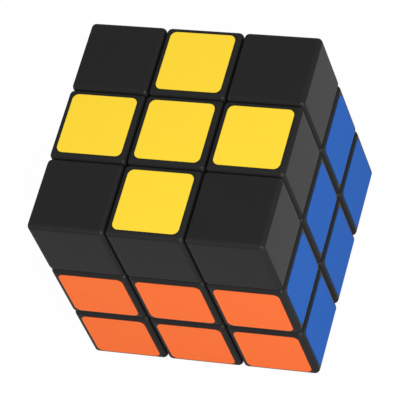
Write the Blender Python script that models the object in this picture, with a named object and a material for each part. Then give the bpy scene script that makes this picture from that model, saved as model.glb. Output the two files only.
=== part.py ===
"""A twisty puzzle cube with three layers each way, in metres, +Z up, its origin at the middle of the core.

-Y is the front face and +X is the right face. Every surface that one piece slides past another on is either
flat and square to a turning axis, or a sphere about the core's middle, so each layer can turn on any axis.
Pieces are modelled once, at the up, front or right side, and copies are turned about the core's middle.
"""

import math

import bmesh
import bpy
from mathutils import Matrix, Vector

MM = 0.001

# Cubies
PITCH = 19.0 * MM  # from the middle of one cubie to the next
SEAM = 0.2 * MM  # clearance between neighbouring cubies
EDGE_ROUND = 1.2 * MM  # fillet on a cubie's edges
CAP_THICK = 3.0 * MM  # the plate that closes a centre
CAP_SEAT = 0.1 * MM  # glue line between a cap and its centre
CAP_PLUG = 0.8 * MM  # how far a cap's round plug reaches into the well
PLUG_FIT = 0.1 * MM  # clearance round that plug

# Stickers
STICKER_THICK = 0.13 * MM
STICKER_GLUE = 0.02 * MM  # adhesive under a sticker
STICKER_MARGIN = 0.25 * MM  # flat plastic left between the fillet and the sticker
STICKER_ROUND = 1.5 * MM  # corners of a sticker
LAND_ROOT = 0.5 * MM  # how far a sticker's land is sunk into its cubie

# Feet, tongues and stems inside
STEM_RADIUS = 5.35 * MM  # stem of a centre, and half the width of an edge's tongue
STEM_WALL = 1.6 * MM
STEM_FLOOR = 2.6 * MM  # what the spring presses on
FOOT_NECK = 5.0 * MM  # how far a corner's inner edges run into its foot
FOOT_THICK = 6.3 * MM  # depth of a foot or tongue, outwards from the core
NECK_STEP = 0.4 * MM  # how much narrower an edge's neck is than its tongue, on each side
TRACK_GAP = 0.5 * MM  # clearance of feet and tongues inwards and outwards

# Core
ARM_RADIUS = 4.4 * MM
HUB_LIP = 1.2 * MM  # how far the hub rises round an arm's foot

# Screws, washers and springs
SCREW_RADIUS = 1.25 * MM
SCREW_GRIP = 7.5 * MM  # length of a screw inside its arm
SCREW_POINT = 1.5 * MM  # length of the taper at its tip
POINT_RADIUS = 0.5 * MM
PILOT_FIT = 0.15 * MM  # clearance round and under a screw in its arm
SCREW_CLEAR = 0.4 * MM  # clearance round a screw in the stem and the washer
HEAD_HEIGHT = 1.8 * MM
HEAD_ROUND = 0.7 * MM  # bevel round the top of the head
HEAD_CLEAR = 0.6 * MM  # clearance of the head to the well
HEAD_ROOM = 0.3 * MM  # clearance of the head to the cap's plug
DRIVE_DEPTH = 1.0 * MM  # cross recess in the head
DRIVE_WIDTH = 0.8 * MM
DRIVE_LENGTH = 3.4 * MM
WASHER_THICK = 0.6 * MM
WASHER_CLEAR = 0.3 * MM  # clearance of washer and spring to the well
WIRE_RADIUS = 0.3 * MM
SPRING_TURNS = 4.5
SEAT_GAP = 0.1 * MM  # between the well's floor, spring, washer and head

# Roundness
ROUND_STEPS = 2  # steps across a fillet
CORNER_STEPS = 3  # steps round a sticker's corner
CIRCLE_STEPS = 16
BALL_STEPS = 24
CURL_STEPS = 8  # points on each turn of a spring

# Places that follow from the sizes
WAIST = (PITCH - SEAM) / 2  # half the width of a cubie
CUT = (PITCH + SEAM) / 2  # inner faces of the outer cubies
FACE = PITCH + WAIST  # outer faces of the plastic
STICKER_BASE = FACE + STICKER_GLUE
STICKER_TOP = STICKER_BASE + STICKER_THICK
STICKER_HALF = WAIST - EDGE_ROUND - STICKER_MARGIN
TRACK = STEM_RADIUS + SEAM  # inner sides of feet and tongues
FOOT_OUTER = math.sqrt(2 * CUT**2 + (CUT + FOOT_NECK) ** 2)
FOOT_INNER = FOOT_OUTER - FOOT_THICK
SCOOP = FOOT_OUTER + TRACK_GAP  # hollow under edges and centres that feet pass through
ARM_END = FOOT_INNER - TRACK_GAP
HUB_RADIUS = math.hypot(ARM_RADIUS, ARM_RADIUS + HUB_LIP)
STEM_END = FOOT_INNER
WELL_FLOOR = STEM_END + STEM_FLOOR
WELL_RADIUS = STEM_RADIUS - STEM_WALL
CAP_BASE = FACE - CAP_THICK
BODY_TOP = CAP_BASE - CAP_SEAT
PLUG_END = CAP_BASE - CAP_PLUG
HEAD_TOP = PLUG_END - HEAD_ROOM
HEAD_BASE = HEAD_TOP - HEAD_HEIGHT
HEAD_RADIUS = WELL_RADIUS - HEAD_CLEAR
WASHER_TOP = HEAD_BASE - SEAT_GAP
WASHER_BASE = WASHER_TOP - WASHER_THICK
SPRING_RADIUS = WELL_RADIUS - WASHER_CLEAR - WIRE_RADIUS
SPRING_LOW = WELL_FLOOR + SEAT_GAP + WIRE_RADIUS
SPRING_HIGH = WASHER_BASE - SEAT_GAP - WIRE_RADIUS
SCREW_TIP = ARM_END - SCREW_GRIP
PILOT_RADIUS = SCREW_RADIUS + PILOT_FIT
PILOT_END = SCREW_TIP - PILOT_FIT

SIDES = ("front", "right", "back", "left")  # each a quarter turn about Z after the one before
SHARP_ANGLE = math.radians(40)
MERGE = 0.001 * MM  # points this close are one


def quarter(axis, turns):
    return Matrix.Rotation(math.radians(90 * turns), 4, axis)


def clear_scene():
    for thing in list(bpy.data.objects):
        bpy.data.objects.remove(thing)


def finish(name, colour, roughness, metallic=0.0):
    material = bpy.data.materials.new(name)
    material.use_nodes = True
    shader = material.node_tree.nodes["Principled BSDF"]
    shader.inputs["Base Color"].default_value = (*colour, 1.0)
    shader.inputs["Roughness"].default_value = roughness
    shader.inputs["Metallic"].default_value = metallic
    material.diffuse_color = (*colour, 1.0)
    return material


# Plain solids, each a mesh in its place


def as_mesh(name, bm, turn=None):
    """The bmesh as a mesh of its own, turned about the core's middle."""
    bm.normal_update()
    bmesh.ops.recalc_face_normals(bm, faces=bm.faces)
    if turn:
        bm.transform(turn)
    mesh = bpy.data.meshes.new(name)
    bm.to_mesh(mesh)
    bm.free()
    return mesh


def box(low, high, rounded=None):
    """A box between two corners. rounded says, from an edge's two ends, whether that edge has the fillet."""
    low, high = Vector(low), Vector(high)
    bm = bmesh.new()
    place = Matrix.Translation((low + high) / 2) @ Matrix.Diagonal((*(high - low), 1.0))
    bmesh.ops.create_cube(bm, size=1.0, matrix=place)
    if rounded:
        edges = [e for e in bm.edges if rounded(*(v.co for v in e.verts))]
        bmesh.ops.bevel(bm, geom=edges, offset=EDGE_ROUND, segments=ROUND_STEPS, profile=0.5, affect="EDGES")
    return as_mesh("box", bm)


def every_edge(one, other):
    return True


def upright_edge(one, other):
    return one.z != other.z


def rod(radius, low, high, turn=None):
    """A round bar along Z. Half a step of turn keeps its edges off the seams of a ball that it meets."""
    bm = bmesh.new()
    half_step = math.pi / CIRCLE_STEPS
    bmesh.ops.create_cone(
        bm,
        cap_ends=True,
        segments=CIRCLE_STEPS,
        radius1=radius,
        radius2=radius,
        depth=high - low,
        matrix=Matrix.Translation((0, 0, (low + high) / 2)) @ Matrix.Rotation(half_step, 4, "Z"),
    )
    return as_mesh("rod", bm, turn)


def ball(radius, steps=BALL_STEPS):
    bm = bmesh.new()
    bmesh.ops.create_uvsphere(bm, u_segments=steps, v_segments=steps // 2, radius=radius)
    return as_mesh("ball", bm)


def turned(profile):
    """A solid turned about Z from (radius, height) points that start and end on the axis."""
    bm = bmesh.new()
    points = [bm.verts.new((radius, 0, height)) for radius, height in profile]
    edges = [bm.edges.new(pair) for pair in zip(points, points[1:])]
    bmesh.ops.spin(
        bm,
        geom=points + edges,
        cent=(0, 0, 0),
        axis=(0, 0, 1),
        angle=math.tau,
        steps=CIRCLE_STEPS,
        use_merge=True,
    )
    bmesh.ops.remove_doubles(bm, verts=bm.verts, dist=MERGE)
    return as_mesh("turned", bm)


def film(low, high, middle=(0, 0), turn=None):
    """A square with round corners and a sticker's outline, between two heights."""
    reach = STICKER_HALF - STICKER_ROUND
    bm = bmesh.new()
    outline = []
    for corner, (right, up) in enumerate(((1, 1), (-1, 1), (-1, -1), (1, -1))):
        for step in range(CORNER_STEPS + 1):
            angle = math.pi / 2 * (corner + step / CORNER_STEPS)
            x = middle[0] + right * reach + STICKER_ROUND * math.cos(angle)
            y = middle[1] + up * reach + STICKER_ROUND * math.sin(angle)
            outline.append(bm.verts.new((x, y, low)))
    base = bm.faces.new(outline)
    raised = bmesh.ops.extrude_face_region(bm, geom=[base])["geom"]
    top = [part for part in raised if isinstance(part, bmesh.types.BMVert)]
    bmesh.ops.translate(bm, vec=(0, 0, high - low), verts=top)
    return as_mesh("film", bm, turn)


def land(slot, middle, turn=None):
    """The raised place of a sticker on a cubie, sunk into the plastic. Its faces take the material slot."""
    mesh = film(FACE - LAND_ROOT, STICKER_TOP, middle, turn)
    for face in mesh.polygons:
        face.material_index = slot
    return mesh


# Booleans


def carved(name, base, steps, slots=1):
    """base with each (operation, mesh) of steps done to it in order, as one mesh with that many slots."""
    helpers = [bpy.data.objects.new(name, base)]
    for _ in range(slots):
        base.materials.append(None)
    for operation, mesh in steps:
        tool = bpy.data.objects.new("tool", mesh)
        tool.hide_render = True
        tool.display_type = "WIRE"
        helpers.append(tool)
        boolean = helpers[0].modifiers.new(operation, "BOOLEAN")
        boolean.operation = operation
        boolean.solver = "EXACT"
        boolean.object = tool
    for helper in helpers:
        bpy.context.scene.collection.objects.link(helper)
    graph = bpy.context.evaluated_depsgraph_get()
    mesh = bpy.data.meshes.new_from_object(helpers[0].evaluated_get(graph))
    mesh.name = name
    for helper in helpers:
        used = helper.data
        bpy.data.objects.remove(helper)
        bpy.data.meshes.remove(used)
    return mesh


# The cube's pieces


def corner_mesh(name, stickers):
    """The up, front, right corner: an outer block, and a foot that reaches under its neighbours."""
    foot = box((TRACK, -FOOT_OUTER, TRACK), (FOOT_OUTER, -TRACK, FOOT_OUTER))
    block = box((CUT, -FACE, CUT), (FACE, -CUT, FACE), every_edge)
    steps = [("INTERSECT", ball(FOOT_OUTER)), ("DIFFERENCE", ball(FOOT_INNER)), ("UNION", block)]
    if stickers:
        steps.append(("UNION", land(1, (PITCH, -PITCH))))
        steps.append(("UNION", land(2, (PITCH, PITCH), quarter("X", 1))))
        steps.append(("UNION", land(3, (-PITCH, -PITCH), quarter("Y", 1))))
    return carved(name, foot, steps, slots=4)


def edge_mesh(name, stickers):
    """The up, front edge: an outer block, hollow underneath, and a tongue on a neck."""
    tongue_box = box((-STEM_RADIUS, -FOOT_OUTER, TRACK), (STEM_RADIUS, -TRACK, FOOT_OUTER))
    tongue = carved("tongue", tongue_box, [("INTERSECT", ball(FOOT_OUTER)), ("DIFFERENCE", ball(FOOT_INNER))])
    neck_half = STEM_RADIUS - NECK_STEP
    neck_near = CUT + EDGE_ROUND
    neck = box((-neck_half, -FOOT_OUTER, neck_near), (neck_half, -neck_near, FOOT_OUTER))
    block = box((-WAIST, -FACE, CUT), (WAIST, -CUT, FACE), every_edge)
    steps = [("DIFFERENCE", ball(SCOOP)), ("UNION", neck), ("UNION", tongue), ("UNION", land(1, (0, -PITCH)))]
    if stickers == 2:
        steps.append(("UNION", land(2, (0, PITCH), quarter("X", 1))))
    return carved(name, block, steps, slots=3)


def centre_mesh(name):
    """The up centre without its cap: a plate, hollow underneath, and a stem with the spring's well."""
    plate = box((-WAIST, -WAIST, CUT), (WAIST, WAIST, BODY_TOP), upright_edge)
    stem = rod(STEM_RADIUS, STEM_END, BODY_TOP - LAND_ROOT)
    well = rod(WELL_RADIUS, WELL_FLOOR, FACE)
    hole = rod(SCREW_RADIUS + SCREW_CLEAR, ARM_END, BODY_TOP)
    steps = [("DIFFERENCE", ball(SCOOP)), ("UNION", stem), ("DIFFERENCE", well), ("DIFFERENCE", hole)]
    return carved(name, plate, steps)


def cap_mesh(name):
    """The up centre's cap, a plate with the cubie's fillets and a round plug under it."""

    def shows(one, other):
        return max(one.z, other.z) > CAP_BASE

    plate = box((-WAIST, -WAIST, CAP_BASE), (WAIST, WAIST, FACE), shows)
    plug = rod(WELL_RADIUS - PLUG_FIT, PLUG_END, FACE - CAP_THICK / 2)
    return carved(name, plate, [("UNION", plug)])


def core_mesh(name):
    """A ball with six arms, each with a blind hole for its screw."""
    steps = []
    for turn in face_turns().values():
        steps.append(("UNION", rod(ARM_RADIUS, ARM_RADIUS + HUB_LIP / 4, ARM_END, turn)))
    for turn in face_turns().values():
        steps.append(("DIFFERENCE", rod(PILOT_RADIUS, PILOT_END, FOOT_INNER, turn)))
    return carved(name, ball(HUB_RADIUS, CIRCLE_STEPS), steps)


def screw_mesh(name):
    """The up centre's screw, with a tapered point and a cross recess in its head."""
    profile = (
        (0, SCREW_TIP),
        (POINT_RADIUS, SCREW_TIP),
        (SCREW_RADIUS, SCREW_TIP + SCREW_POINT),
        (SCREW_RADIUS, HEAD_BASE),
        (HEAD_RADIUS, HEAD_BASE),
        (HEAD_RADIUS, HEAD_TOP - HEAD_ROUND),
        (HEAD_RADIUS - HEAD_ROUND, HEAD_TOP),
        (0, HEAD_TOP),
    )
    steps = []
    for length, width in ((DRIVE_LENGTH, DRIVE_WIDTH), (DRIVE_WIDTH, DRIVE_LENGTH)):
        slit = box((-length / 2, -width / 2, HEAD_TOP - DRIVE_DEPTH), (length / 2, width / 2, PLUG_END))
        steps.append(("DIFFERENCE", slit))
    return carved(name, turned(profile), steps)


def washer_mesh(name):
    hole = rod(SCREW_RADIUS + SCREW_CLEAR, WELL_FLOOR, HEAD_TOP)
    disc = rod(WELL_RADIUS - WASHER_CLEAR, WASHER_BASE, WASHER_TOP)
    return carved(name, disc, [("DIFFERENCE", hole)])


def spring_curve(name):
    """The up centre's spring, one wire wound about Z."""
    count = round(SPRING_TURNS * CURL_STEPS)
    points = []
    for index in range(count + 1):
        angle = math.tau * index / CURL_STEPS
        height = SPRING_LOW + (SPRING_HIGH - SPRING_LOW) * index / count
        points.append(Vector((SPRING_RADIUS * math.cos(angle), SPRING_RADIUS * math.sin(angle), height)))
    apart = CURL_STEPS // 2
    pairs = [(a, b) for i, a in enumerate(points) for b in points[i + apart :]]
    least = min((a - b).length for a, b in pairs) - 2 * WIRE_RADIUS
    print(f"spring: least gap between turns {least / MM:.2f} mm")
    curve = bpy.data.curves.new(name, "CURVE")
    curve.dimensions = "3D"
    curve.bevel_depth = WIRE_RADIUS
    curve.bevel_resolution = 1
    curve.use_fill_caps = True
    wire = curve.splines.new("POLY")
    wire.points.add(count)
    for place, point in zip(wire.points, points):
        place.co = (*point, 1.0)
    curve.materials.append(None)
    return curve


# Assembly


def face_turns():
    """Each face's name, and the turn that takes the up face there."""
    turns = {"up": quarter("Z", 0), "down": quarter("X", 2)}
    for index, side in enumerate(SIDES):
        turns[side] = quarter("Z", index) @ quarter("X", 1)
    return turns


def add_layer(name, parent=None):
    layer = bpy.data.objects.new(name, None)
    layer.empty_display_size = PITCH
    layer.parent = parent
    bpy.context.scene.collection.objects.link(layer)
    return layer


def add_piece(name, data, turn, layer, finishes):
    """One object at the core's middle, turned to its place, with a finish for each of its material slots."""
    piece = bpy.data.objects.new(name, data)
    bpy.context.scene.collection.objects.link(piece)
    piece.rotation_euler = turn.to_euler()
    piece.parent = layer
    for slot, material in zip(piece.material_slots, finishes):
        slot.link = "OBJECT"
        slot.material = material
    if piece.type == "MESH":
        data.shade_smooth()
        data.set_sharp_from_angle(angle=SHARP_ANGLE)


def add_centres(layers, plastic, steel, stickers):
    body = centre_mesh("centre")
    cap = cap_mesh("centre_cap")
    sticker = carved("centre_sticker", film(STICKER_BASE, STICKER_TOP), [])
    screw = screw_mesh("screw")
    washer = washer_mesh("washer")
    spring = spring_curve("spring")
    for face, turn in face_turns().items():
        layer = layers.get(face, layers["belt"])
        add_piece(f"{face}_centre", body, turn, layer, [plastic])
        add_piece(f"{face}_centre_cap", cap, turn, layer, [plastic])
        add_piece(f"{face}_centre_sticker", sticker, turn, layer, [stickers[face]])
        add_piece(f"{face}_screw", screw, turn, layers["belt"], [steel])
        add_piece(f"{face}_washer", washer, turn, layers["belt"], [steel])
        add_piece(f"{face}_spring", spring, turn, layers["belt"], [steel])


def add_edges(layers, plastic, stickers):
    top_edge = edge_mesh("edge_one_sticker", 1)
    full_edge = edge_mesh("edge_two_stickers", 2)
    for index, side in enumerate(SIDES):
        after = SIDES[(index + 1) % 4]
        spin = quarter("Z", index)
        add_piece(f"up_{side}_edge", top_edge, spin, layers["up"], [plastic, stickers["up"]])
        finishes = [plastic, stickers[after], stickers[side]]
        add_piece(f"{side}_{after}_edge", full_edge, spin @ quarter("Y", 1), layers["belt"], finishes)
        finishes = [plastic, stickers["down"], stickers[side]]
        flip = quarter("Z", 2) @ quarter("X", 2)
        add_piece(f"down_{side}_edge", full_edge, spin @ flip, layers["down"], finishes)


def add_corners(layers, plastic, stickers):
    bare_corner = corner_mesh("corner_bare", False)
    full_corner = corner_mesh("corner_three_stickers", True)
    for index, side in enumerate(SIDES):
        after = SIDES[(index + 1) % 4]
        spin = quarter("Z", index)
        add_piece(f"up_{side}_{after}_corner", bare_corner, spin, layers["up"], [plastic])
        finishes = [plastic, stickers[side], stickers["down"], stickers[after]]
        tip = quarter("X", 1)
        add_piece(f"down_{side}_{after}_corner", full_corner, spin @ tip, layers["down"], finishes)


def main():
    clear_scene()
    plastic = finish("black_plastic", (0.02, 0.02, 0.021), 0.42)
    nylon = finish("core_nylon", (0.75, 0.73, 0.68), 0.5)
    steel = finish("steel", (0.62, 0.62, 0.63), 0.28, 1.0)
    stickers = {
        "up": finish("yellow_sticker", (0.96, 0.68, 0.045), 0.45),
        "front": finish("orange_sticker", (0.93, 0.18, 0.048), 0.45),
        "right": finish("blue_sticker", (0.036, 0.13, 0.47), 0.45),
        "back": finish("red_sticker", (0.57, 0.02, 0.025), 0.45),
        "left": finish("green_sticker", (0.02, 0.33, 0.1), 0.45),
        "down": finish("white_sticker", (0.82, 0.82, 0.8), 0.45),
    }
    belt = add_layer("belt")
    layers = {"belt": belt, "up": add_layer("up_layer", belt), "down": add_layer("down_layer", belt)}
    add_piece("core", core_mesh("core"), quarter("Z", 0), belt, [nylon])
    add_centres(layers, plastic, steel, stickers)
    add_edges(layers, plastic, stickers)
    add_corners(layers, plastic, stickers)


main()
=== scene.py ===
# Looks of the twisty puzzle cube: smooth cubies, stickers, the hardware inside, finishes, light and camera.
import math

import bmesh
import bpy
from mathutils import Matrix, Vector


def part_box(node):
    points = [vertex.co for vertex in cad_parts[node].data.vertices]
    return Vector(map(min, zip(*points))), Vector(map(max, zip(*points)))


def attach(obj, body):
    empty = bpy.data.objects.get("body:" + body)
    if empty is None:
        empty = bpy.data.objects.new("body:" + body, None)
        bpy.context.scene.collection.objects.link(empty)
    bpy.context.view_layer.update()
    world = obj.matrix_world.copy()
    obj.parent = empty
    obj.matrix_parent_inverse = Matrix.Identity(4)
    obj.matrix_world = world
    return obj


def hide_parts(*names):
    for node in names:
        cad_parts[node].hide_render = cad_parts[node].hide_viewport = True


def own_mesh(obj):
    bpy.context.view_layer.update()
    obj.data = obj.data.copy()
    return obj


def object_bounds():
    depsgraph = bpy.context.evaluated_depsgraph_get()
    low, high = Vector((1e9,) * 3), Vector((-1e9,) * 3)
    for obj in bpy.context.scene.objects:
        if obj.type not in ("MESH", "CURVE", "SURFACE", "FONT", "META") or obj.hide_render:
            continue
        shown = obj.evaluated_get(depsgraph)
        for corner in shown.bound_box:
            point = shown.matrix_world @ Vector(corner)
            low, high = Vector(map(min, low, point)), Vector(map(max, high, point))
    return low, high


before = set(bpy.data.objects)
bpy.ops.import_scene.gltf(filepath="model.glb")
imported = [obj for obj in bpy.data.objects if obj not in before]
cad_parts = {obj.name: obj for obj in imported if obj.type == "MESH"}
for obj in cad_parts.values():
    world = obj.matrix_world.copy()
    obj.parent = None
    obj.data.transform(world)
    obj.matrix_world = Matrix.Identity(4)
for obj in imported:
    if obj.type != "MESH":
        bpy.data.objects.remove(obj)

cad_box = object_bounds()
MM = 0.001

# Sizes read from the frame
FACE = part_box("up_centre_cap")[1].z  # outer faces of the plastic
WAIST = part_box("up_centre_cap")[1].x  # half the width of a cubie
PLUG_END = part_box("up_centre_cap")[0].z  # underside of a cap's plug
BODY_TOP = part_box("up_centre")[1].z  # top of a centre's plate, under the cap
FOOT_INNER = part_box("up_centre")[0].z  # inner ends of stems, feet and tongues
STICKER_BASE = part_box("up_centre_sticker")[0].z
STICKER_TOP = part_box("up_centre_sticker")[1].z
STICKER_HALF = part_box("up_centre_sticker")[1].x
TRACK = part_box("up_front_right_corner")[0].x  # inner sides of feet and tongues
ARM_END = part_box("core")[1].z
SCREW_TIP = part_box("up_screw")[0].z
HEAD_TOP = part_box("up_screw")[1].z
HEAD_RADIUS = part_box("up_screw")[1].x
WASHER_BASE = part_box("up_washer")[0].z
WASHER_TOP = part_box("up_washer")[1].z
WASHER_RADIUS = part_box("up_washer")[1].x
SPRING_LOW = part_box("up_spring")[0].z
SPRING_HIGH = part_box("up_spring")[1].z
FLOOR_LEVEL = cad_box[0][2]

# Sizes shared with the solids
EDGE_ROUND = 1.2 * MM
CAP_THICK = 3.0 * MM
STICKER_ROUND = 1.5 * MM
FOOT_THICK = 6.3 * MM
TRACK_GAP = 0.5 * MM
NECK_STEP = 0.4 * MM
STEM_WALL = 1.6 * MM
STEM_FLOOR = 2.6 * MM
PLUG_FIT = 0.1 * MM
ARM_RADIUS = 4.4 * MM
HUB_LIP = 1.2 * MM
SCREW_RADIUS = 1.25 * MM
SCREW_POINT = 1.5 * MM
SCREW_CLEAR = 0.4 * MM
PILOT_FIT = 0.15 * MM
HEAD_HEIGHT = 1.8 * MM
WIRE_RADIUS = 0.3 * MM
LIFT = 0.6 * MM  # how far a centre lifts against its spring

# Places that follow from the sizes
PITCH = FACE - WAIST
CUT = PITCH - WAIST  # inner faces of the outer cubies
STEM_RADIUS = TRACK - (CUT - WAIST)
FOOT_OUTER = FOOT_INNER + FOOT_THICK
SCOOP = FOOT_OUTER + TRACK_GAP  # hollow under edges and centres
WELL_FLOOR = FOOT_INNER + STEM_FLOOR
WELL_RADIUS = STEM_RADIUS - STEM_WALL
HOLE_RADIUS = SCREW_RADIUS + SCREW_CLEAR
PILOT_RADIUS = SCREW_RADIUS + PILOT_FIT
HUB_RADIUS = math.hypot(ARM_RADIUS, ARM_RADIUS + HUB_LIP)
HEAD_BASE = HEAD_TOP - HEAD_HEIGHT

# Finer shapes than the solids have
FILLET_STEPS = 6
BALL_STEPS = 96
LATHE_STEPS = 48
STICKER_STEPS = 8
STICKER_EDGE = 0.04 * MM  # soft rim of a sticker's top
RIM_STEPS = 2  # steps across that rim
SMALL_ROUND = 0.15 * MM  # soft rims of the hardware
ARM_CHAMFER = 0.4 * MM
SPRING_TURNS = 5.5
SPRING_STEPS = 40  # points on each turn
CLOSED_TURNS = 1.0  # turns at each end that lie against the next one
CLOSED_RISE = 2.05 * WIRE_RADIUS  # rise of such a turn
WIRE_STEPS = 4  # roundness of the wire
MERGE = 0.001 * MM  # points this close are one
POINT_RADIUS = 0.2 * MM  # tip of a screw
THREAD_PITCH = 1.0 * MM
THREAD_DEPTH = 0.3 * MM
THREAD_STEPS = 32  # points on each turn
SHANK_RADIUS = 1.1 * MM  # smooth shank between thread and head
DOME_WIDTH = 1.2 * MM  # rounding of a screw's head
DOME_HEIGHT = 0.8 * MM
DOME_STEPS = 4
DRIVE_DEPTH = 1.0 * MM
DRIVE_WIDTH = 0.8 * MM
DRIVE_LENGTH = 3.4 * MM
DRIVE_TAPER = 0.7  # floor of the cross recess to its mouth
SMOOTH_ANGLE = math.radians(35)

# The photograph's camera
CAMERA_AZIMUTH = 35.595
CAMERA_ELEVATION = 53.781
CAMERA_ROLL = -25.118
CAMERA_DISTANCE = 714.71 * MM
CAMERA_AIM = Vector((-1.264, -0.659, 0.147)) * MM
CAMERA_LENS = 275.33
CAMERA_SENSOR = 36.0
CAMERA_NEAR = 10 * MM  # nothing closer than this is drawn

# The studio
FLOOR_SIZE = 6.0
FLOOR_GAP = 0.02 * MM  # keeps the floor off the lowest stickers
FLOOR_GREY = (0.55, 0.55, 0.55, 1.0)
FLOOR_GLOW = 0.97  # share of the floor's white that no shadow darkens
WHITE = (1.0, 1.0, 1.0, 1.0)
ROOM_LIGHT = 0.74
ROOM_SLOPE = 0.3  # how much brighter the room is on its bright side
ROOM_AZIMUTH = 40
LAMP_AZIMUTH = 44
LAMP_ELEVATION = 40
LAMP_DISTANCE = 400 * MM
LAMP_SIZE = 200 * MM
LAMP_POWER = 0.7

SIDES = ("front", "right", "back", "left")  # each a quarter turn about Z after the one before
STICKERS = {  # the colour on each face, by name and as a screen shows it
    "up": ("yellow", (253, 216, 57)),
    "front": ("orange", (255, 118, 57)),
    "right": ("blue", (33, 97, 187)),
    "back": ("red", (196, 38, 42)),
    "left": ("green", (38, 156, 88)),
    "down": ("white", (240, 240, 238)),
}


def quarter(axis, turns):
    return Matrix.Rotation(math.radians(90 * turns), 4, axis)


def face_turns():
    """Each face's name, and the turn that takes the up face there."""
    turns = {"up": quarter("Z", 0), "down": quarter("X", 2)}
    for index, side in enumerate(SIDES):
        turns[side] = quarter("Z", index) @ quarter("X", 1)
    return turns


def direction(azimuth, elevation):
    """Degrees round from the front towards the right, and up from the floor."""
    azimuth, elevation = math.radians(azimuth), math.radians(elevation)
    level = math.cos(elevation)
    return Vector((math.sin(azimuth) * level, -math.cos(azimuth) * level, math.sin(elevation)))


# Modelling by hand


def pick(piece):
    """Makes piece the only selected object, and the active one."""
    bpy.ops.object.select_all(action="DESELECT")
    piece.select_set(True)
    bpy.context.view_layer.objects.active = piece


def settle():
    """Puts the active object's place and size into its mesh."""
    bpy.ops.object.transform_apply(location=True, rotation=True, scale=True)
    return bpy.context.active_object


def block(low, high):
    """A box between two corners."""
    low, high = Vector(low), Vector(high)
    bpy.ops.object.select_all(action="DESELECT")
    bpy.ops.mesh.primitive_cube_add(size=1, location=(low + high) / 2)
    bpy.context.active_object.scale = high - low
    return settle()


def ball(radius):
    bpy.ops.object.select_all(action="DESELECT")
    bpy.ops.mesh.primitive_uv_sphere_add(segments=BALL_STEPS, ring_count=BALL_STEPS // 2, radius=radius)
    return bpy.context.active_object


def lathe(profile):
    """A solid turned about Z: a disc at the first (radius, height), extruded and scaled to the others."""
    (radius, height), *rest = profile
    bpy.ops.object.select_all(action="DESELECT")
    bpy.ops.mesh.primitive_circle_add(
        vertices=LATHE_STEPS, radius=radius, fill_type="NGON", location=(0, 0, height)
    )
    piece = settle()
    bpy.ops.object.mode_set(mode="EDIT")
    bpy.ops.mesh.select_mode(type="FACE")
    bpy.ops.mesh.select_all(action="SELECT")
    for next_radius, next_height in rest:
        bpy.ops.mesh.extrude_region_move(TRANSFORM_OT_translate={"value": (0, 0, next_height - height)})
        share = next_radius / radius
        bpy.ops.transform.resize(value=(share, share, 1), center_override=(0, 0, next_height))
        radius, height = next_radius, next_height
    bpy.ops.mesh.select_all(action="SELECT")
    bpy.ops.mesh.normals_make_consistent(inside=False)
    bpy.ops.object.mode_set(mode="OBJECT")
    return piece


def bevel_edges(piece, chosen, width, steps):
    """Rounds the edges whose two ends answer chosen."""
    pick(piece)
    bpy.ops.object.mode_set(mode="EDIT")
    bpy.ops.mesh.select_mode(type="EDGE")
    bpy.ops.mesh.select_all(action="DESELECT")
    mesh = bmesh.from_edit_mesh(piece.data)
    for edge in mesh.edges:
        edge.select_set(chosen(*(end.co for end in edge.verts)))
    bmesh.update_edit_mesh(piece.data)
    bpy.ops.mesh.bevel(offset=width, segments=steps, profile=0.5, affect="EDGES")
    bpy.ops.object.mode_set(mode="OBJECT")


def combine(piece, operation, tool):
    """Applies a Boolean with tool, which is used up."""
    boolean = piece.modifiers.new(operation, "BOOLEAN")
    boolean.operation = operation
    boolean.solver = "EXACT"
    boolean.object = tool
    pick(piece)
    bpy.ops.object.modifier_apply(modifier=boolean.name)
    bpy.data.objects.remove(tool)


def smooth(piece):
    """Smooth fillets beside flat faces: shading by angle, and normals weighted by the faces' areas."""
    pick(piece)
    bpy.ops.object.shade_smooth_by_angle(angle=SMOOTH_ANGLE)
    weights = piece.modifiers.new("Flat faces", "WEIGHTED_NORMAL")
    weights.keep_sharp = True
    bpy.ops.object.modifier_apply(modifier=weights.name)


def turned_copy(piece, turn):
    """A copy with its own mesh, turned about the core's middle."""
    copy = piece.copy()
    copy.data = piece.data.copy()
    copy.data.transform(turn)
    bpy.context.scene.collection.objects.link(copy)
    return copy


def every_edge(one, other):
    return True


# Cubies


def corner_pattern():
    """The up, front, right corner: a rounded block with the foot that runs under its neighbours."""
    corner = block((CUT, -FACE, CUT), (FACE, -CUT, FACE))
    bevel_edges(corner, every_edge, EDGE_ROUND, FILLET_STEPS)
    foot = block((TRACK, -FOOT_OUTER, TRACK), (FOOT_OUTER, -TRACK, FOOT_OUTER))
    combine(foot, "INTERSECT", ball(FOOT_OUTER))
    combine(foot, "DIFFERENCE", ball(FOOT_INNER))
    combine(corner, "UNION", foot)
    smooth(corner)
    return corner


def edge_pattern():
    """The up, front edge: a rounded block, hollow underneath, with a tongue on a neck."""
    edge = block((-WAIST, -FACE, CUT), (WAIST, -CUT, FACE))
    bevel_edges(edge, every_edge, EDGE_ROUND, FILLET_STEPS)
    combine(edge, "DIFFERENCE", ball(SCOOP))
    half = STEM_RADIUS - NECK_STEP
    near = CUT + EDGE_ROUND
    combine(edge, "UNION", block((-half, -FOOT_OUTER, near), (half, -near, FOOT_OUTER)))
    tongue = block((-STEM_RADIUS, -FOOT_OUTER, TRACK), (STEM_RADIUS, -TRACK, FOOT_OUTER))
    combine(tongue, "INTERSECT", ball(FOOT_OUTER))
    combine(tongue, "DIFFERENCE", ball(FOOT_INNER))
    combine(edge, "UNION", tongue)
    smooth(edge)
    return edge


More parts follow.
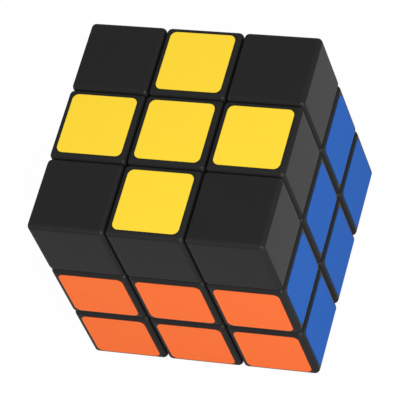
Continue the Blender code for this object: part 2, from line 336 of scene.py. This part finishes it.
def centre_pattern():
    """The up centre without its cap: a plate, hollow underneath, and a stem with the spring's well."""

    def upright(one, other):
        return abs(one.z - other.z) > EDGE_ROUND

    centre = block((-WAIST, -WAIST, CUT), (WAIST, WAIST, BODY_TOP))
    bevel_edges(centre, upright, EDGE_ROUND, FILLET_STEPS)
    combine(centre, "DIFFERENCE", ball(SCOOP))
    stem = lathe(
        (
            (STEM_RADIUS - SMALL_ROUND, FOOT_INNER),
            (STEM_RADIUS, FOOT_INNER + SMALL_ROUND),
            (STEM_RADIUS, BODY_TOP - CAP_THICK),
        )
    )
    combine(centre, "UNION", stem)
    well = lathe(
        (
            (HOLE_RADIUS, ARM_END),
            (HOLE_RADIUS, WELL_FLOOR),
            (WELL_RADIUS, WELL_FLOOR),
            (WELL_RADIUS, FACE),
        )
    )
    combine(centre, "DIFFERENCE", well)
    smooth(centre)
    return centre


def cap_pattern():
    """The up centre's cap: a rounded plate with its round plug."""
    base = FACE - CAP_THICK

    def shows(one, other):
        return max(one.z, other.z) > base + EDGE_ROUND

    cap = block((-WAIST, -WAIST, base), (WAIST, WAIST, FACE))
    bevel_edges(cap, shows, EDGE_ROUND, FILLET_STEPS)
    radius = WELL_RADIUS - PLUG_FIT
    plug = lathe(
        (
            (radius - SMALL_ROUND, PLUG_END),
            (radius, PLUG_END + SMALL_ROUND),
            (radius, base + EDGE_ROUND),
        )
    )
    combine(cap, "UNION", plug)
    smooth(cap)
    return cap


def film_pattern():
    """The up centre's sticker: a thin film with round corners and a soft rim."""

    def upright(one, other):
        return abs(one.z - other.z) > STICKER_EDGE

    def top_rim(one, other):
        return min(one.z, other.z) > STICKER_TOP - STICKER_EDGE

    film = block((-STICKER_HALF, -STICKER_HALF, STICKER_BASE), (STICKER_HALF, STICKER_HALF, STICKER_TOP))
    bevel_edges(film, upright, STICKER_ROUND, STICKER_STEPS)
    bevel_edges(film, top_rim, STICKER_EDGE, RIM_STEPS)
    smooth(film)
    return film


# Hardware inside


def core_pattern():
    """A ball with six chamfered arms, each with a blind hole for its screw."""
    core = ball(HUB_RADIUS)
    arm = lathe(
        (
            (ARM_RADIUS, ARM_RADIUS / 2),
            (ARM_RADIUS, ARM_END - ARM_CHAMFER),
            (ARM_RADIUS - ARM_CHAMFER, ARM_END),
        )
    )
    hole = lathe(
        (
            (PILOT_RADIUS, SCREW_TIP - PILOT_FIT),
            (PILOT_RADIUS, ARM_END - ARM_CHAMFER),
            (PILOT_RADIUS + 2 * ARM_CHAMFER, ARM_END + ARM_CHAMFER),
        )
    )
    half_step = Matrix.Rotation(math.pi / BALL_STEPS, 4, "Z")
    for operation, tool in (("UNION", arm), ("DIFFERENCE", hole)):
        for turn in face_turns().values():
            combine(core, operation, turned_copy(tool, turn @ half_step))
        bpy.data.objects.remove(tool)
    smooth(core)
    return core


def screw_pattern():
    """The up centre's screw: a tapping thread, a smooth shank and a domed head with a cross recess."""
    root = SCREW_RADIUS - THREAD_DEPTH
    thread_end = ARM_END
    dome = []
    for step in range(DOME_STEPS + 1):
        angle = math.pi / 2 * step / DOME_STEPS
        radius = HEAD_RADIUS - DOME_WIDTH * (1 - math.cos(angle))
        dome.append((radius, HEAD_TOP - DOME_HEIGHT * (1 - math.sin(angle))))
    screw = lathe(
        (
            (POINT_RADIUS, SCREW_TIP),
            (root, SCREW_TIP + SCREW_POINT),
            (root, thread_end),
            (SHANK_RADIUS, thread_end + SMALL_ROUND),
            (SHANK_RADIUS, HEAD_BASE - SMALL_ROUND),
            (SHANK_RADIUS + SMALL_ROUND, HEAD_BASE),
            (HEAD_RADIUS - SMALL_ROUND, HEAD_BASE),
            (HEAD_RADIUS, HEAD_BASE + SMALL_ROUND),
            *dome,
        )
    )
    combine(screw, "UNION", thread_ridge(SCREW_TIP + SCREW_POINT, thread_end))
    combine(screw, "DIFFERENCE", cross_recess())
    smooth(screw)
    return screw


def cross_recess():
    """The cross that a screwdriver fits, narrower at its floor."""
    half_length, half_width = DRIVE_LENGTH / 2, DRIVE_WIDTH / 2
    floor = HEAD_TOP - DRIVE_DEPTH
    slot = block((-half_length, -half_width, floor), (half_length, half_width, HEAD_TOP + DRIVE_DEPTH))
    bpy.ops.object.mode_set(mode="EDIT")
    bpy.ops.mesh.select_mode(type="FACE")
    bpy.ops.mesh.select_all(action="DESELECT")
    mesh = bmesh.from_edit_mesh(slot.data)
    for face in mesh.faces:
        face.select_set(face.normal.z < -0.5)
    bmesh.update_edit_mesh(slot.data)
    bpy.ops.transform.resize(value=(DRIVE_TAPER, DRIVE_TAPER, 1), center_override=(0, 0, floor))
    bpy.ops.object.mode_set(mode="OBJECT")
    combine(slot, "UNION", turned_copy(slot, quarter("Z", 1)))
    return slot


def thread_ridge(low, high):
    """A triangle wound up round the shank, its two ends closed."""
    bpy.ops.object.select_all(action="DESELECT")
    bpy.ops.mesh.primitive_circle_add(
        vertices=3,
        radius=THREAD_DEPTH,
        location=(SCREW_RADIUS - THREAD_DEPTH, 0, low + THREAD_DEPTH),
        rotation=(math.pi / 2, math.pi / 2, 0),
    )
    ridge = settle()
    winding = ridge.modifiers.new("Thread", "SCREW")
    winding.axis = "Z"
    winding.steps = winding.render_steps = THREAD_STEPS
    winding.iterations = int((high - low - 2 * THREAD_DEPTH) / THREAD_PITCH)
    winding.screw_offset = THREAD_PITCH
    pick(ridge)
    bpy.ops.object.modifier_apply(modifier=winding.name)
    bpy.ops.object.mode_set(mode="EDIT")
    bpy.ops.mesh.select_all(action="SELECT")
    bpy.ops.mesh.fill_holes(sides=3)
    bpy.ops.mesh.select_all(action="SELECT")
    bpy.ops.mesh.normals_make_consistent(inside=False)
    bpy.ops.object.mode_set(mode="OBJECT")
    return ridge


def washer_pattern():
    """A stamped ring with soft rims."""
    rim = WASHER_RADIUS - SMALL_ROUND
    washer = lathe(
        (
            (rim, WASHER_BASE),
            (WASHER_RADIUS, WASHER_BASE + SMALL_ROUND),
            (WASHER_RADIUS, WASHER_TOP - SMALL_ROUND),
            (rim, WASHER_TOP),
        )
    )
    hole = lathe(((HOLE_RADIUS, WASHER_BASE - LIFT), (HOLE_RADIUS, WASHER_TOP + LIFT)))
    combine(washer, "DIFFERENCE", hole)
    smooth(washer)
    return washer


def spring_pattern():
    """A compression spring of round wire, with a closed turn at each end."""
    low, high = SPRING_LOW + WIRE_RADIUS, SPRING_HIGH - WIRE_RADIUS
    radius = WASHER_RADIUS - WIRE_RADIUS
    open_turns = SPRING_TURNS - 2 * CLOSED_TURNS
    open_rise = (high - low - 2 * CLOSED_TURNS * CLOSED_RISE) / open_turns
    curve = bpy.data.curves.new("spring", "CURVE")
    curve.dimensions = "3D"
    curve.bevel_depth = WIRE_RADIUS
    curve.bevel_resolution = WIRE_STEPS
    curve.use_fill_caps = True
    wire = curve.splines.new("POLY")
    count = round(SPRING_TURNS * SPRING_STEPS)
    wire.points.add(count)
    for index, point in enumerate(wire.points):
        turn = SPRING_TURNS * index / count
        middle = min(max(turn - CLOSED_TURNS, 0), open_turns)
        height = low + CLOSED_RISE * (turn - middle) + open_rise * middle
        angle = math.tau * turn
        point.co = (radius * math.cos(angle), radius * math.sin(angle), height, 1)
    spring = bpy.data.objects.new("spring", curve)
    bpy.context.scene.collection.objects.link(spring)
    pick(spring)
    bpy.ops.object.convert(target="MESH")
    spring = bpy.context.active_object
    bpy.ops.object.mode_set(mode="EDIT")
    bpy.ops.mesh.select_all(action="SELECT")
    bpy.ops.mesh.remove_doubles(threshold=MERGE)
    bpy.ops.mesh.normals_make_consistent(inside=False)
    bpy.ops.object.mode_set(mode="OBJECT")
    bpy.ops.object.shade_smooth_by_angle(angle=SMOOTH_ANGLE)
    return spring


# Shader maths

RIGHTWARD = (1, 0, 0)
BACKWARD = (0, 1, 0)
UPWARD = (0, 0, 1)


class Socket:
    """One output of a shader node. Arithmetic on it adds Math nodes."""

    def __init__(self, finish, output):
        self.finish = finish
        self.output = output

    def __add__(self, other):
        return self.finish.math("ADD", self, other)

    def __sub__(self, other):
        return self.finish.math("SUBTRACT", self, other)

    def __rsub__(self, other):
        return self.finish.math("SUBTRACT", other, self)

    def __mul__(self, other):
        return self.finish.math("MULTIPLY", self, other)

    def __abs__(self):
        return self.finish.math("ABSOLUTE", self)

    __radd__ = __add__
    __rmul__ = __mul__


class Finish:
    """A node tree, and the shader at its end."""

    def __init__(self, name, tree=None, shader="Principled BSDF"):
        if not tree:
            self.material = bpy.data.materials.new(name)
            self.material.use_nodes = True
            tree = self.material.node_tree
        self.tree = tree
        self.shader = tree.nodes[shader]

    def node(self, kind, settings=None, inputs=None, output=0):
        """A new node's output. Settings are set first, then each input gets a value or a link."""
        made = self.tree.nodes.new(kind)
        for key, value in (settings or {}).items():
            setattr(made, key, value)
        for key, value in (inputs or {}).items():
            self.feed(made.inputs[key], value)
        return Socket(self, made.outputs[output])

    def feed(self, socket, value):
        if isinstance(value, Socket):
            self.tree.links.new(value.output, socket)
        else:
            socket.default_value = value

    def math(self, operation, *terms):
        return self.node("ShaderNodeMath", {"operation": operation}, dict(enumerate(terms)))

    def surface(self, **values):
        """Sets or links the shader's sockets, named with underscores for spaces."""
        for key, value in values.items():
            self.feed(self.shader.inputs[key.replace("_", " ")], value)

    def seen(self):
        """1 for what the camera sees, directly or mirrored, and 0 for light on its way to the cube."""
        total = 0.0
        for kind in ("Camera", "Glossy", "Transmission"):
            total = self.node("ShaderNodeLightPath", output=f"Is {kind} Ray") + total
        return self.math("MINIMUM", total, 1.0)

    def place(self):
        return self.node("ShaderNodeTexCoord", output="Object")

    def along(self, place, way):
        """How far a place lies along a direction."""
        return self.node("ShaderNodeVectorMath", {"operation": "DOT_PRODUCT"}, {0: place, 1: way}, "Value")

    def noise(self, size, detail=2.0, roughness=0.5, distortion=0.0):
        """Noise from 0 to 1 with features of that size."""
        inputs = {
            "Vector": self.place(),
            "Scale": 1 / size,
            "Detail": detail,
            "Roughness": roughness,
            "Distortion": distortion,
        }
        return self.node("ShaderNodeTexNoise", None, inputs, "Fac")

    def ramp(self, value, low, high):
        """value mapped smoothly from low..high to 0..1."""
        inputs = {"Value": value, "From Min": low, "From Max": high}
        return self.node("ShaderNodeMapRange", {"interpolation_type": "SMOOTHSTEP"}, inputs)

    def mix(self, factor, one, other):
        """A colour between two colours."""
        inputs = {"Factor": factor, "A": one, "B": other}
        return self.node("ShaderNodeMix", {"data_type": "RGBA"}, inputs, "Result")

    def bump(self, height, depth, strength=1.0):
        inputs = {"Height": height, "Distance": depth, "Strength": strength}
        return self.node("ShaderNodeBump", None, inputs)

    def borders(self, start, end, ways=(RIGHTWARD, BACKWARD, UPWARD)):
        """0 on a cubie's flat faces, more on the rounding of its edges and most on that of its corners."""
        total = -1.0
        place = self.place()
        for way in ways:
            inner = self.math("WRAP", self.along(place, way), PITCH / 2, -PITCH / 2)
            total = self.ramp(abs(inner), start, end) + total
        return total

    def seams(self, way, start, end):
        """0 away from the two seams across a direction, rising to 1 as the distance falls to end."""
        off = abs(abs(self.along(self.place(), way)) - PITCH / 2)
        return self.ramp(off, start, end)


def srgb(red, green, blue):
    """A screen colour from 0 to 255 as a linear one."""
    linear = []
    for part in (red, green, blue):
        part = part / 255
        linear.append(part / 12.92 if part <= 0.04045 else ((part + 0.055) / 1.055) ** 2.4)
    return (*linear, 1.0)


def grey(level):
    return srgb(level, level, level)


def shade(colour, share):
    """A darker or lighter form of a colour."""
    return (*(min(1.0, part * share) for part in colour[:3]), 1.0)


def plastic_finish():
    """Satin black plastic with a fine grain. Its rounded edges are painted lighter, partly as wear and
    partly as a painted sheen, and more so on the front and on upright edges. Painted shade darkens the two
    seams across X.
    """
    finish = Finish("black_plastic")
    grain = finish.noise(0.16 * MM, detail=3)
    smear = finish.noise(6 * MM, detail=4, roughness=0.6, distortion=0.8)
    scuff = finish.ramp(finish.noise(0.9 * MM, detail=5, roughness=0.7), 0.35, 0.75)
    edges = finish.borders(WAIST - EDGE_ROUND, WAIST)
    corners = finish.ramp(edges, 0.6, 0.85)  # an edge away from the corners stays under 0.6
    dulled = finish.ramp(edges, 0.0, 0.45)
    black = grey(36)
    tone = finish.mix(smear, shade(black, 0.92), shade(black, 1.08))
    # Painted light: roundings near the front face get a lighter rim colour (grey 50) than those further
    # back (grey 45), as if lit from the front.
    front = finish.ramp(finish.along(finish.place(), BACKWARD), 2 * EDGE_ROUND - FACE, EDGE_ROUND - FACE)
    level_rim_wear_and_painted_front_light = finish.mix(front, grey(45), grey(50))
    # Painted light: upright edge roundings get a lighter colour (grey 58) than level ones, standing in for
    # the light they catch from the right and front.
    upright = finish.ramp(finish.borders(WAIST - EDGE_ROUND, WAIST, (RIGHTWARD, BACKWARD)), 0.0, 0.3)
    rim_wear_and_painted_light = finish.mix(upright, level_rim_wear_and_painted_front_light, grey(58))
    # Lighter edge roundings: partly wear where the scuff noise is strong, partly a painted sheen that
    # stands in for the reflection the roundings would catch.
    wear_and_painted_sheen = finish.mix(edges * (0.6 + 0.4 * scuff), tone, rim_wear_and_painted_light)
    # Painted shade: the base colour darkens near the two seams across X, where shade falls between the
    # cubies.
    painted_seam_shade = finish.seams(RIGHTWARD, 0.5 * MM, 0.2 * MM)
    finish.surface(
        # Painted shade: near-black grey 8 over the seams across X.
        Base_Color=finish.mix(0.55 * painted_seam_shade, wear_and_painted_sheen, grey(8)),
        Roughness=0.22 + 0.09 * smear + 0.05 * grain + 0.5 * dulled,
        Normal=finish.bump(grain, 0.003 * MM, 0.4),
        Coat_Weight=0.35 * corners,
        Coat_Roughness=0.12,
        Specular_IOR_Level=0.035,
    )
    return finish.material


def vinyl_finish(name, colour):
    """Satin vinyl film with a faint mottle, a fine grain and a slightly soiled rim."""
    finish = Finish(name)
    grain = finish.noise(0.12 * MM, detail=2)
    cloud = finish.noise(4 * MM, detail=3)
    speck = finish.ramp(finish.noise(0.5 * MM, detail=4, roughness=0.7), 0.5, 0.8)
    soiled = finish.borders(STICKER_HALF - 0.7 * MM, STICKER_HALF) * speck
    tone = finish.mix(cloud, shade(colour, 0.98), shade(colour, 1.02))
    finish.surface(
        Base_Color=finish.mix(soiled * 0.15, tone, shade(colour, 0.5)),
        Roughness=0.6 + 0.1 * cloud - 0.04 * grain,
        Normal=finish.bump(grain, 0.002 * MM, 0.3),
        Specular_IOR_Level=0.08,
    )
    return finish.material


def nylon_finish():
    """Cream nylon with a faint flow pattern."""
    finish = Finish("cream_nylon")
    flow = finish.noise(3 * MM, detail=3, distortion=1.5)
    grain = finish.noise(0.2 * MM)
    finish.surface(
        Base_Color=finish.mix(flow, srgb(214, 208, 192), srgb(232, 227, 214)),
        Roughness=0.38 + 0.15 * flow,
        Normal=finish.bump(grain, 0.004 * MM, 0.4),
    )
    return finish.material


def zinc_finish():
    """Zinc plating, with the bluish and yellowish bloom of its passivation."""
    finish = Finish("zinc_plate")
    bloom = finish.noise(1.2 * MM, detail=3, distortion=1.0)
    grain = finish.noise(0.08 * MM, detail=3)
    finish.surface(
        Base_Color=finish.mix(bloom, srgb(196, 200, 208), srgb(214, 208, 194)),
        Metallic=1.0,
        Roughness=0.24 + 0.14 * bloom + 0.08 * grain,
        Normal=finish.bump(grain, 0.002 * MM, 0.4),
    )
    return finish.material


def spring_finish():
    """Drawn spring wire, darker in patches."""
    finish = Finish("drawn_wire")
    patch = finish.noise(0.8 * MM, detail=4)
    streak = finish.noise(0.05 * MM, detail=2)
    finish.surface(
        Base_Color=finish.mix(patch, srgb(120, 121, 124), grey(168)),
        Metallic=1.0,
        Roughness=0.26 + 0.12 * patch + 0.08 * streak,
        Normal=finish.bump(streak, 0.002 * MM, 0.3),
    )
    return finish.material


# Assembly


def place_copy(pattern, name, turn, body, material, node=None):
    """A turned copy of pattern that rides on body, and stands for the solid of that node."""
    piece = turned_copy(pattern, turn)
    piece.name = piece.data.name = name
    piece.data.materials.clear()
    piece.data.materials.append(material)
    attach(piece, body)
    if node:
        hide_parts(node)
    return piece


def add_cubies(plastic):
    corner, edge, centre, cap = corner_pattern(), edge_pattern(), centre_pattern(), cap_pattern()
    tip = quarter("X", 1)
    flip = quarter("Z", 2) @ quarter("X", 2)
    for index, side in enumerate(SIDES):
        after = SIDES[(index + 1) % 4]
        spin = quarter("Z", index)
        for pattern, node, turn, body in (
            (corner, f"up_{side}_{after}_corner", spin, "up_layer"),
            (corner, f"down_{side}_{after}_corner", spin @ tip, "down_layer"),
            (edge, f"up_{side}_edge", spin, "up_layer"),
            (edge, f"{side}_{after}_edge", spin @ quarter("Y", 1), "core_and_belt"),
            (edge, f"down_{side}_edge", spin @ flip, "down_layer"),
        ):
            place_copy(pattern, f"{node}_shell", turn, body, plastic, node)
    for face, turn in face_turns().items():
        body = f"{face}_centre_piece"
        for pattern, node in ((centre, f"{face}_centre"), (cap, f"{face}_centre_cap")):
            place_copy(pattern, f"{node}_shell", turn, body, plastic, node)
    for pattern in (corner, edge, centre, cap):
        bpy.data.objects.remove(pattern)


def cubie_at(cell):
    """The name and the body of the cubie at a cell, whose steps along X, Y and Z are -1, 0 or 1."""
    x, y, z = (round(step) for step in cell)
    faces = []
    if z:
        faces.append("up" if z > 0 else "down")
    sides = []
    if y:
        sides.append("front" if y < 0 else "back")
    if x:
        sides.append("right" if x > 0 else "left")
    if len(sides) == 2 and SIDES[(SIDES.index(sides[0]) + 1) % 4] != sides[1]:
        sides.reverse()
    faces += sides
    kind = {1: "centre", 2: "edge", 3: "corner"}[len(faces)]
    name = "_".join([*faces, kind])
    if kind == "centre":
        return name, f"{name}_piece"
    return name, f"{faces[0]}_layer" if z else "core_and_belt"


def is_bare(face, cubie):
    """The up layer has only the cross on top."""
    return cubie.startswith("up_") and (face != "up" or cubie.endswith("_corner"))


def add_stickers(vinyls):
    film = film_pattern()
    steps = (-1, 0, 1)
    for face, turn in face_turns().items():
        colour = STICKERS[face][0]
        for across, along in [(across, along) for across in steps for along in steps]:
            cubie, body = cubie_at(turn @ Vector((across, along, 1)))
            if is_bare(face, cubie):
                continue
            there = turn @ Matrix.Translation((across * PITCH, along * PITCH, 0))
            node = f"{cubie}_sticker" if cubie == f"{face}_centre" else None
            name = f"{cubie}_{colour}_film"
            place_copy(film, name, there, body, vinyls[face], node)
    bpy.data.objects.remove(film)


def add_hardware():
    core, screw, washer, spring = core_pattern(), screw_pattern(), washer_pattern(), spring_pattern()
    nylon, zinc, wire = nylon_finish(), zinc_finish(), spring_finish()
    belt = "core_and_belt"
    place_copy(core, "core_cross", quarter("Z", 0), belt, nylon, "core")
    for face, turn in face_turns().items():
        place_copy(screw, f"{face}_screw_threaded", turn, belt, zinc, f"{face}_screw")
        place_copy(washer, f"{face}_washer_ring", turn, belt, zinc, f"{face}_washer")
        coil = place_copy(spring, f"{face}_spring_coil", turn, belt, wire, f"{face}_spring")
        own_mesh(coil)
    for pattern in (core, screw, washer, spring):
        bpy.data.objects.remove(pattern)


# Studio


def add_floor():
    """A sheet of paper that shows white with the cube's faint shadow, and sends grey light back to it."""
    bpy.ops.object.select_all(action="DESELECT")
    bpy.ops.mesh.primitive_plane_add(size=FLOOR_SIZE, location=(0, 0, FLOOR_LEVEL - FLOOR_GAP))
    floor = settle()
    floor.name = "floor"
    paper = Finish("floor_paper")
    seen = paper.seen()
    paper.surface(Base_Color=paper.mix(seen, FLOOR_GREY, WHITE), Roughness=0.9, Specular_IOR_Level=0.0)
    glow = paper.node("ShaderNodeEmission", None, {"Color": WHITE, "Strength": 1.0})
    matte = Socket(paper, paper.shader.outputs[0])
    shown = paper.node("ShaderNodeMixShader", None, {0: seen * FLOOR_GLOW, 1: matte, 2: glow})
    paper.feed(paper.tree.nodes["Material Output"].inputs["Surface"], shown)
    paper.material.cycles.emission_sampling = "NONE"
    floor.data.materials.append(paper.material)


def add_light():
    """A bright room that shows white, brighter in front than behind, and a soft lamp at the front right."""
    world = bpy.data.worlds.new("studio")
    world.use_nodes = True
    room = Finish("room", world.node_tree, "Background")
    seen = room.seen()
    facing = room.along(room.node("ShaderNodeTexCoord", output="Generated"), direction(ROOM_AZIMUTH, 0))
    light = ROOM_LIGHT + ROOM_SLOPE * facing
    room.surface(Color=WHITE, Strength=light + seen * (1 - light))
    bpy.context.scene.world = world

    lamp = bpy.data.lights.new("soft_lamp", "AREA")
    lamp.size = LAMP_SIZE
    lamp.energy = LAMP_POWER
    stand = bpy.data.objects.new("soft_lamp", lamp)
    bpy.context.scene.collection.objects.link(stand)
    away = direction(LAMP_AZIMUTH, LAMP_ELEVATION)
    stand.location = away * LAMP_DISTANCE
    stand.rotation_euler = away.to_track_quat("Z", "Y").to_euler()


def add_camera():
    away = direction(CAMERA_AZIMUTH, CAMERA_ELEVATION)
    lens = bpy.data.cameras.new("camera")
    lens.lens = CAMERA_LENS
    lens.sensor_width = CAMERA_SENSOR
    lens.clip_start = CAMERA_NEAR
    camera = bpy.data.objects.new("camera", lens)
    bpy.context.scene.collection.objects.link(camera)
    aim = away.to_track_quat("Z", "Y").to_matrix().to_4x4()
    roll = Matrix.Rotation(math.radians(CAMERA_ROLL), 4, "Z")
    camera.matrix_world = Matrix.Translation(CAMERA_AIM + away * CAMERA_DISTANCE) @ aim @ roll
    bpy.context.scene.camera = camera


def main():
    add_camera()
    add_light()
    add_floor()
    add_cubies(plastic_finish())
    add_hardware()
    vinyls = {}
    for face, (colour, tone) in STICKERS.items():
        vinyls[face] = vinyl_finish(f"{colour}_vinyl", srgb(*tone))
    add_stickers(vinyls)
    bpy.context.scene.view_settings.view_transform = "Standard"


main()
